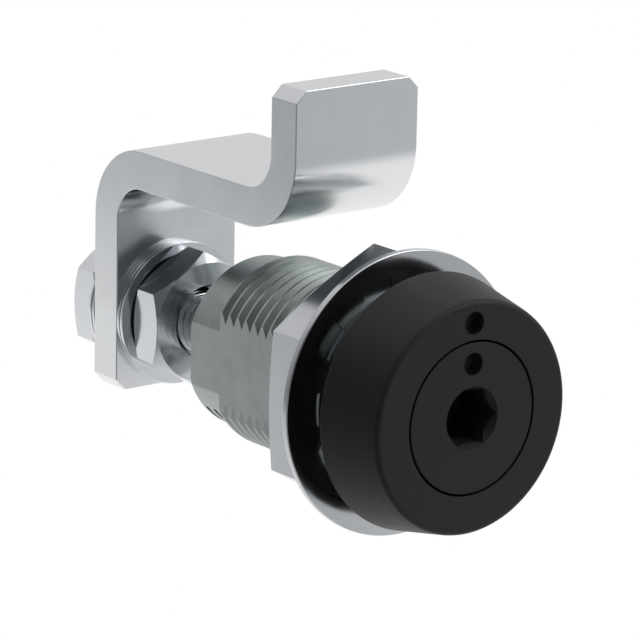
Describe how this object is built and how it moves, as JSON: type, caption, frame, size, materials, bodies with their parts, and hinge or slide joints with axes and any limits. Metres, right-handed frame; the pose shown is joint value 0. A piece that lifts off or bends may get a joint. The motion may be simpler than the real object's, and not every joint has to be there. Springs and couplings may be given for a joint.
{
  "type": "tool-operated compression latch",
  "caption": "Panel latch worked by a hex key: a quarter turn swings an offset plate pawl, a further turn draws it in against the frame.",
  "frame": {"origin": "centre of the head's underside, where the latch axis crosses the outer face of the panel", "axes": "+Y along the latch axis through the panel to the inside, +Z the way the closed pawl points, +X to the right as seen from the front"},
  "size_m": [0.043, 0.0882, 0.0656],
  "materials": {
    "die_cast_zinc": "matt die-cast zinc, lightly mottled",
    "black_trim": "fine matt black moulding",
    "black_plug": "matt black powder coat on a zinc die casting",
    "black_rubber": "matt black rubber",
    "bright_plate": "bright zinc-plated steel",
    "pawl_plate": "satin bright zinc-plated steel",
    "turned_steel": "turned and zinc-plated steel",
    "spring_steel": "spring steel, lightly oiled",
    "bearing_brass": "plain brass"
  },
  "bodies": {
    "housing": {"housing": "die_cast_zinc", "head_trim": "black_trim", "panel_gasket": "black_rubber", "mounting_nut": "bright_plate", "bush_circlip": "spring_steel", "wave_washer": "spring_steel"},
    "guide_bush": {"guide_bush": "turned_steel"},
    "driver": {"drive_plug": "black_plug", "plug_o_ring": "black_rubber", "plug_clip": "spring_steel", "cam_sleeve": "die_cast_zinc", "spring_seat": "spring_steel", "thrust_washer": "bearing_brass", "return_spring": "spring_steel"},
    "shaft": {"shaft": "turned_steel", "cross_pin": "turned_steel", "front_pawl_nut": "bright_plate", "front_pawl_washer": "bright_plate", "pawl": "pawl_plate", "rear_pawl_washer": "bright_plate", "rear_pawl_nut": "bright_plate"}
  },
  "joints": [
    {"name": "pawl_swing", "type": "hinge", "parent": "housing", "child": "guide_bush", "pos_m": [0, 0.035, 0], "axis": [0, 1, 0], "range_deg": [-90, 0]},
    {"name": "driver_turn", "type": "hinge", "parent": "guide_bush", "child": "driver", "pos_m": [0, 0, 0], "axis": [0, 1, 0], "range_deg": [-90, 0]},
    {"name": "pawl_draw", "type": "slide", "parent": "guide_bush", "child": "shaft", "axis": [0, 1, 0], "range_m": [0, 0.006], "deforming": ["return_spring"]}
  ],
  "couplings": [
    {"joint": "driver_turn", "follows": "pawl_draw", "rad_per_m": -261.8}
  ]
}
